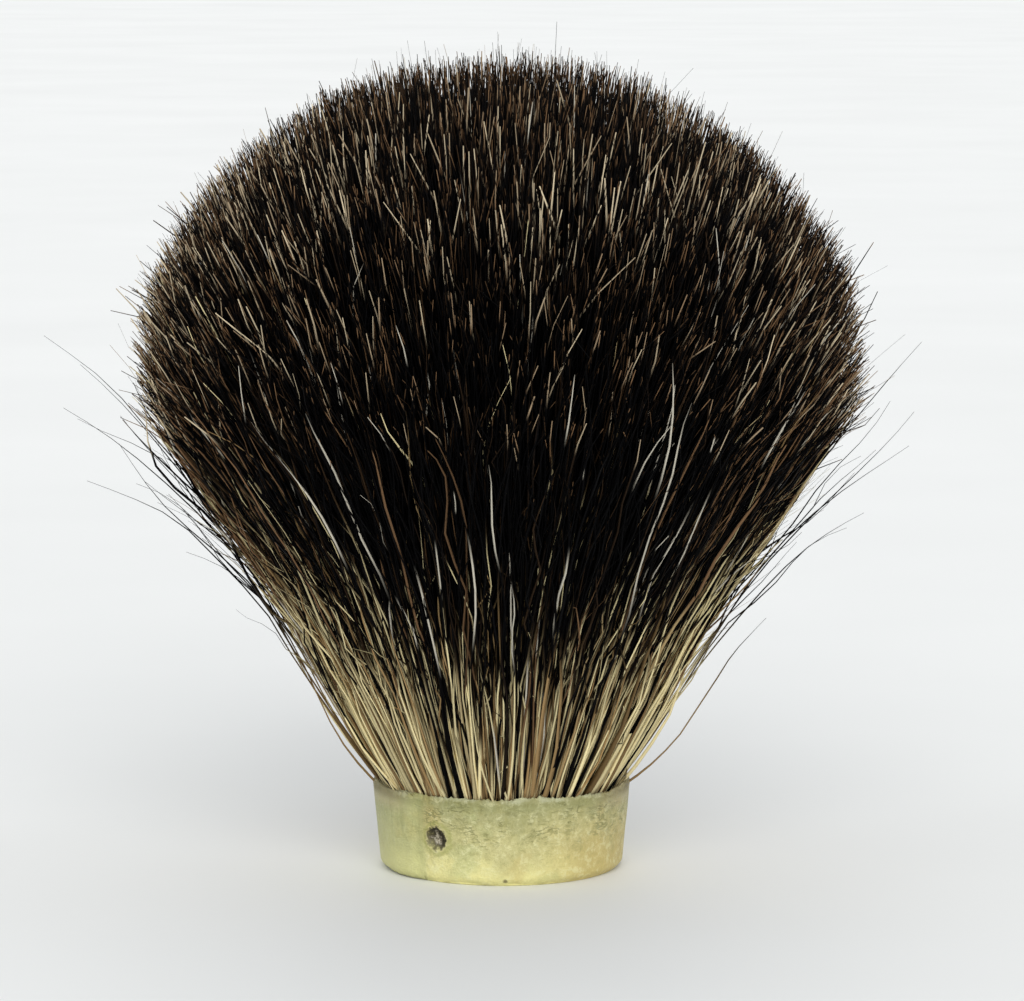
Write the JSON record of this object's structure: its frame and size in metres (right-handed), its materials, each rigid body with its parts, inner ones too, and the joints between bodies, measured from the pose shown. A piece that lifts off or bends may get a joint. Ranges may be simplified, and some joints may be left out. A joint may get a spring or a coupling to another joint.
{
  "type": "shaving brush knot",
  "caption": "Fan-shaped knot of dark badger hair with cream roots, potted in a yellow glue plug inside a thin rolled collar, ready to set in a shaving brush handle.",
  "frame": {"origin": "centre of the flat foot of the glue plug", "axes": "+Z along the knot's axis from the plug to the tips of the hair; -Y towards the viewer, at the side with the film's lapped seam and the small pit"},
  "size_m": [0.062, 0.062, 0.067],
  "materials": {
    "plug_resin": "satin",
    "collar_film": "satin",
    "tying_thread": "matte",
    "root_hair": "matte",
    "dark_hair": "satin"
  },
  "bodies": {
    "potted_root": {"resin_plug": "plug_resin", "collar_film": "collar_film", "root_bundle": "root_hair", "binding_thread": "tying_thread", "hair_core": "dark_hair"},
    "outer_lock_1": {"hair_outer_1": "dark_hair"},
    "outer_lock_2": {"hair_outer_2": "dark_hair"},
    "outer_lock_3": {"hair_outer_3": "dark_hair"},
    "outer_lock_4": {"hair_outer_4": "dark_hair"},
    "outer_lock_5": {"hair_outer_5": "dark_hair"},
    "outer_lock_6": {"hair_outer_6": "dark_hair"},
    "outer_lock_7": {"hair_outer_7": "dark_hair"},
    "outer_lock_8": {"hair_outer_8": "dark_hair"},
    "mid_lock_1": {"hair_mid_1": "dark_hair"},
    "mid_lock_2": {"hair_mid_2": "dark_hair"},
    "mid_lock_3": {"hair_mid_3": "dark_hair"},
    "mid_lock_4": {"hair_mid_4": "dark_hair"},
    "mid_lock_5": {"hair_mid_5": "dark_hair"},
    "mid_lock_6": {"hair_mid_6": "dark_hair"},
    "mid_lock_7": {"hair_mid_7": "dark_hair"},
    "mid_lock_8": {"hair_mid_8": "dark_hair"}
  },
  "joints": [
    {"name": "outer_bend_1", "type": "hinge", "parent": "potted_root", "child": "outer_lock_1", "pos_m": [0, -0.00886, 0.0082], "axis": [1, 0, 0], "range_deg": [0, 12], "stiffness_Nm_per_rad": 0.01, "springref_deg": -6.88},
    {"name": "outer_bend_2", "type": "hinge", "parent": "potted_root", "child": "outer_lock_2", "pos_m": [0.00626, -0.00626, 0.0082], "axis": [0.7071, 0.7071, 0], "range_deg": [0, 12], "stiffness_Nm_per_rad": 0.01, "springref_deg": -6.88},
    {"name": "outer_bend_3", "type": "hinge", "parent": "potted_root", "child": "outer_lock_3", "pos_m": [0.00886, 0, 0.0082], "axis": [0, 1, 0], "range_deg": [0, 12], "stiffness_Nm_per_rad": 0.01, "springref_deg": -6.88},
    {"name": "outer_bend_4", "type": "hinge", "parent": "potted_root", "child": "outer_lock_4", "pos_m": [0.00626, 0.00626, 0.0082], "axis": [-0.7071, 0.7071, 0], "range_deg": [0, 12], "stiffness_Nm_per_rad": 0.01, "springref_deg": -6.88},
    {"name": "outer_bend_5", "type": "hinge", "parent": "potted_root", "child": "outer_lock_5", "pos_m": [0, 0.00886, 0.0082], "axis": [-1, 0, 0], "range_deg": [0, 12], "stiffness_Nm_per_rad": 0.01, "springref_deg": -6.88},
    {"name": "outer_bend_6", "type": "hinge", "parent": "potted_root", "child": "outer_lock_6", "pos_m": [-0.00626, 0.00626, 0.0082], "axis": [-0.7071, -0.7071, 0], "range_deg": [0, 12], "stiffness_Nm_per_rad": 0.01, "springref_deg": -6.88},
    {"name": "outer_bend_7", "type": "hinge", "parent": "potted_root", "child": "outer_lock_7", "pos_m": [-0.00886, 0, 0.0082], "axis": [0, -1, 0], "range_deg": [0, 12], "stiffness_Nm_per_rad": 0.01, "springref_deg": -6.88},
    {"name": "outer_bend_8", "type": "hinge", "parent": "potted_root", "child": "outer_lock_8", "pos_m": [-0.00626, -0.00626, 0.0082], "axis": [0.7071, -0.7071, 0], "range_deg": [0, 12], "stiffness_Nm_per_rad": 0.01, "springref_deg": -6.88},
    {"name": "mid_bend_1", "type": "hinge", "parent": "potted_root", "child": "mid_lock_1", "pos_m": [0, -0.00511, 0.0082], "axis": [1, 0, 0], "range_deg": [0, 6], "stiffness_Nm_per_rad": 0.01, "springref_deg": -6.88},
    {"name": "mid_bend_2", "type": "hinge", "parent": "potted_root", "child": "mid_lock_2", "pos_m": [0.00361, -0.00361, 0.0082], "axis": [0.7071, 0.7071, 0], "range_deg": [0, 6], "stiffness_Nm_per_rad": 0.01, "springref_deg": -6.88},
    {"name": "mid_bend_3", "type": "hinge", "parent": "potted_root", "child": "mid_lock_3", "pos_m": [0.00511, 0, 0.0082], "axis": [0, 1, 0], "range_deg": [0, 6], "stiffness_Nm_per_rad": 0.01, "springref_deg": -6.88},
    {"name": "mid_bend_4", "type": "hinge", "parent": "potted_root", "child": "mid_lock_4", "pos_m": [0.00361, 0.00361, 0.0082], "axis": [-0.7071, 0.7071, 0], "range_deg": [0, 6], "stiffness_Nm_per_rad": 0.01, "springref_deg": -6.88},
    {"name": "mid_bend_5", "type": "hinge", "parent": "potted_root", "child": "mid_lock_5", "pos_m": [0, 0.00511, 0.0082], "axis": [-1, 0, 0], "range_deg": [0, 6], "stiffness_Nm_per_rad": 0.01, "springref_deg": -6.88},
    {"name": "mid_bend_6", "type": "hinge", "parent": "potted_root", "child": "mid_lock_6", "pos_m": [-0.00361, 0.00361, 0.0082], "axis": [-0.7071, -0.7071, 0], "range_deg": [0, 6], "stiffness_Nm_per_rad": 0.01, "springref_deg": -6.88},
    {"name": "mid_bend_7", "type": "hinge", "parent": "potted_root", "child": "mid_lock_7", "pos_m": [-0.00511, 0, 0.0082], "axis": [0, -1, 0], "range_deg": [0, 6], "stiffness_Nm_per_rad": 0.01, "springref_deg": -6.88},
    {"name": "mid_bend_8", "type": "hinge", "parent": "potted_root", "child": "mid_lock_8", "pos_m": [-0.00361, -0.00361, 0.0082], "axis": [0.7071, -0.7071, 0], "range_deg": [0, 6], "stiffness_Nm_per_rad": 0.01, "springref_deg": -6.88}
  ],
  "couplings": [
    {"joint": "mid_bend_1", "follows": "outer_bend_1", "ratio": 0.5},
    {"joint": "mid_bend_2", "follows": "outer_bend_2", "ratio": 0.5},
    {"joint": "mid_bend_3", "follows": "outer_bend_3", "ratio": 0.5},
    {"joint": "mid_bend_4", "follows": "outer_bend_4", "ratio": 0.5},
    {"joint": "mid_bend_5", "follows": "outer_bend_5", "ratio": 0.5},
    {"joint": "mid_bend_6", "follows": "outer_bend_6", "ratio": 0.5},
    {"joint": "mid_bend_7", "follows": "outer_bend_7", "ratio": 0.5},
    {"joint": "mid_bend_8", "follows": "outer_bend_8", "ratio": 0.5}
  ]
}
